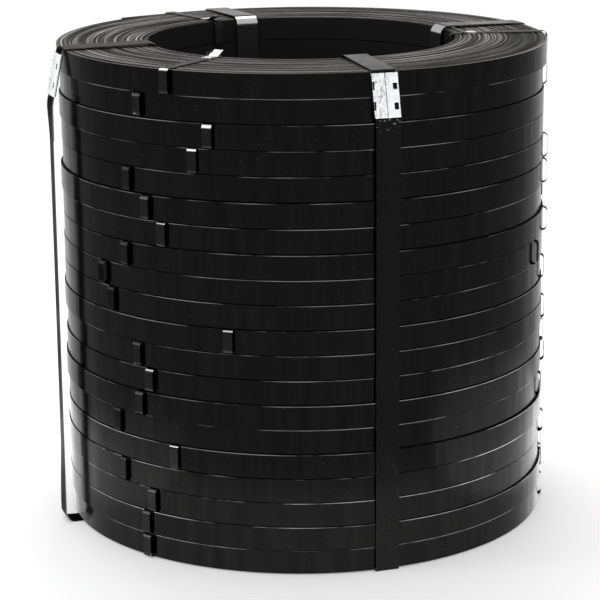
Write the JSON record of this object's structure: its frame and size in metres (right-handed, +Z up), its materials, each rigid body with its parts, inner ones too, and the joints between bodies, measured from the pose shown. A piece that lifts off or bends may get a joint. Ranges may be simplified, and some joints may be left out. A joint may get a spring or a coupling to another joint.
{
  "type": "stack of steel strapping coils",
  "caption": "Ribbon-wound coils of black steel strapping on end in a round stack, each with narrow ties, bound through the bore by wide straps with notched zinc seals.",
  "frame": {"origin": "on the axis of the stack's bore, at the level it stands on", "axes": "+Z up along the bore; -Y towards the front bundle strap; +X towards the right"},
  "size_m": [0.7051, 0.6921, 0.673],
  "materials": {
    "coil_paint": "gloss black, wound turns",
    "strap_paint": "gloss black",
    "tie_paint": "satin black",
    "zinc": "dull zinc plate"
  },
  "bodies": {
    "root": {"coil_01": "coil_paint", "coil_02": "coil_paint", "coil_03": "coil_paint", "coil_04": "coil_paint", "coil_05": "coil_paint", "coil_06": "coil_paint", "coil_07": "coil_paint", "coil_08": "coil_paint", "coil_09": "coil_paint", "coil_10": "coil_paint", "coil_11": "coil_paint", "coil_12": "coil_paint", "coil_13": "coil_paint", "coil_14": "coil_paint", "coil_15": "coil_paint", "coil_16": "coil_paint", "coil_17": "coil_paint", "coil_18": "coil_paint", "coil_19": "coil_paint", "coil_20": "coil_paint", "coil_ties_01": "tie_paint", "coil_ties_02": "tie_paint", "coil_ties_03": "tie_paint", "coil_ties_04": "tie_paint", "coil_ties_05": "tie_paint", "coil_ties_06": "tie_paint", "coil_ties_07": "tie_paint", "coil_ties_08": "tie_paint", "coil_ties_09": "tie_paint", "coil_ties_10": "tie_paint", "coil_ties_11": "tie_paint", "coil_ties_12": "tie_paint", "coil_ties_13": "tie_paint", "coil_ties_14": "tie_paint", "coil_ties_15": "tie_paint", "coil_ties_16": "tie_paint", "coil_ties_17": "tie_paint", "coil_ties_18": "tie_paint", "coil_ties_19": "tie_paint", "coil_ties_20": "tie_paint", "tie_clips_left": "zinc", "tie_clips_right": "zinc", "tie_clips_rear": "zinc", "bundle_strap_front": "strap_paint", "bundle_strap_right": "strap_paint", "bundle_strap_rear": "strap_paint", "bundle_strap_left": "strap_paint", "strap_seal_front": "zinc", "strap_seal_right": "zinc", "strap_seal_rear": "zinc", "strap_seal_left": "zinc"}
  },
  "joints": []
}
